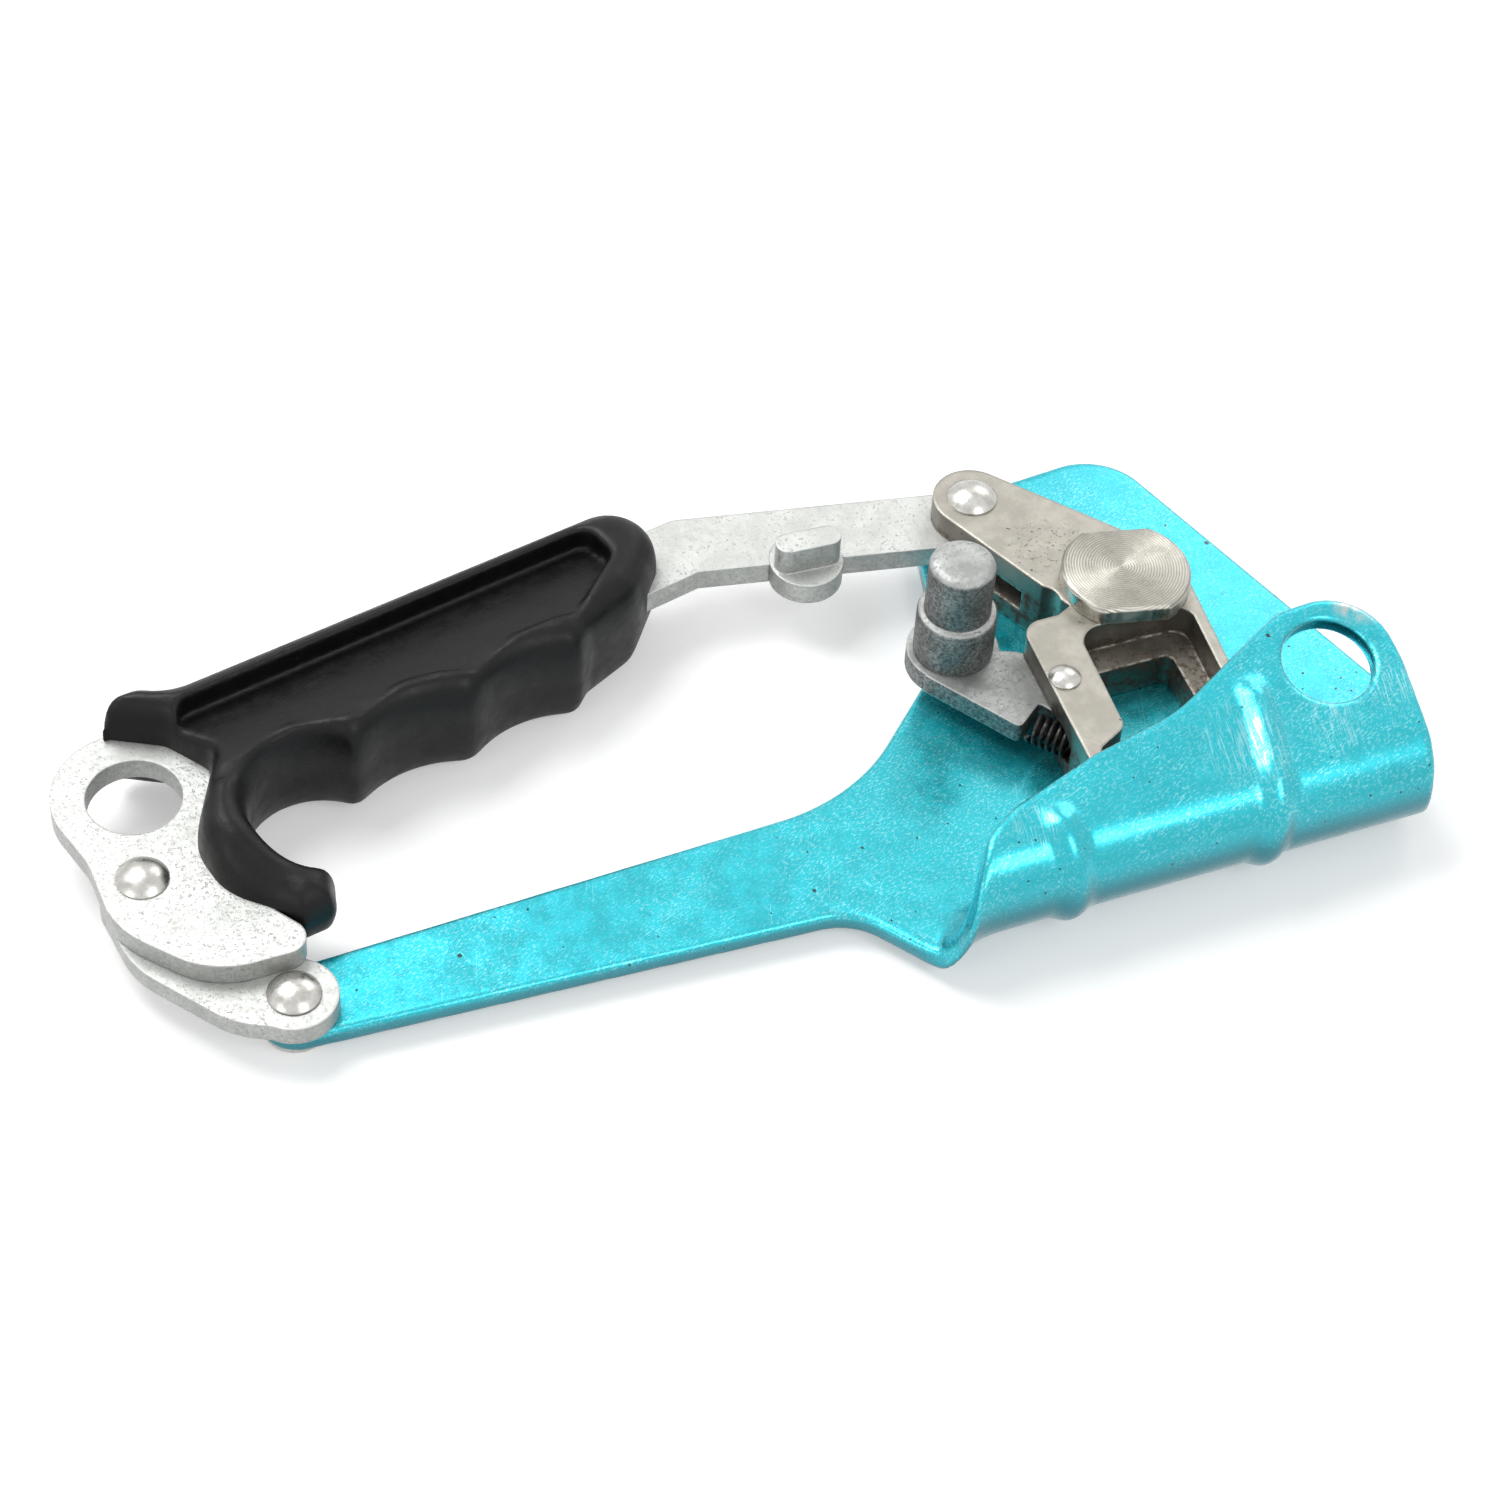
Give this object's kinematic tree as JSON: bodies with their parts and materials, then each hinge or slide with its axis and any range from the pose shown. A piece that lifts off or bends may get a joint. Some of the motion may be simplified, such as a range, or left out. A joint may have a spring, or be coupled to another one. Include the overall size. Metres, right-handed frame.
{
  "type": "rope ascender",
  "caption": "Lever-cam rope clamp with a folded sheet rope channel, toothed cam, thumb-pin safety catch and a rubber-gripped parallelogram handle.",
  "frame": {"origin": "middle of the bounding box's base, the level it lies on", "axes": "+X runs along the rope toward the tab, +Z points away from the frame's back, +Y from the rope to the cam's lever"},
  "size_m": [0.2092, 0.0946, 0.0327],
  "materials": {
    "anodised_sheet": "cyan anodised aluminium sheet, satin",
    "cast_steel": "nickelled cast steel, lightly rusted",
    "turned_steel": "turned bright steel",
    "rivet_steel": "domed bright steel rivet",
    "plated_sheet": "light grey plated steel sheet, speckled",
    "galvanised": "mottled galvanised steel",
    "spring_steel": "blackened spring steel",
    "bronze": "plain bronze",
    "grip_rubber": "black moulded rubber"
  },
  "bodies": {
    "frame_body": {"frame": "anodised_sheet", "cam_axle": "turned_steel", "axle_washer": "turned_steel", "strap_rivet": "rivet_steel", "strap_washer": "rivet_steel"},
    "cam": {"cam_body": "cast_steel", "axle_bush": "bronze", "lever_rivet": "rivet_steel", "catch_rivet": "rivet_steel", "cam_return_spring": "spring_steel", "catch_spring": "spring_steel"},
    "catch": {"catch_plate": "galvanised", "thumb_pin": "galvanised"},
    "link_body": {"link": "plated_sheet"},
    "handle": {"handle_core": "plated_sheet", "grip": "grip_rubber", "stop_lug": "plated_sheet", "eye_rivet": "rivet_steel", "eye_washer": "rivet_steel"}
  },
  "joints": [
    {"name": "cam_pivot", "type": "hinge", "parent": "frame_body", "child": "cam", "pos_m": [0.06816, 0.00685, 0.0116], "axis": [0, 0, 1], "range_deg": [-30, 0], "stiffness_Nm_per_rad": 0.12, "springref_deg": 28.65, "deforming": ["cam_return_spring"]},
    {"name": "catch_pivot", "type": "hinge", "parent": "cam", "child": "catch", "pos_m": [0.05056, -0.00895, 0.01105], "axis": [0, 0, 1], "range_deg": [0, 22], "stiffness_Nm_per_rad": 0.04, "springref_deg": -28.65, "deforming": ["catch_spring"]},
    {"name": "handle_pivot", "type": "hinge", "parent": "cam", "child": "handle", "pos_m": [0.05251, 0.0321, 0.01105], "axis": [0, 0, 1], "range_deg": [0, 30]},
    {"name": "link_pivot", "type": "hinge", "parent": "frame_body", "child": "link_body", "pos_m": [-0.07955, -0.0225, 0.0073], "axis": [0, 0, 1], "range_deg": [-30, 0]}
  ],
  "couplings": [
    {"joint": "handle_pivot", "follows": "cam_pivot", "ratio": -1},
    {"joint": "link_pivot", "follows": "cam_pivot", "ratio": 1}
  ]
}
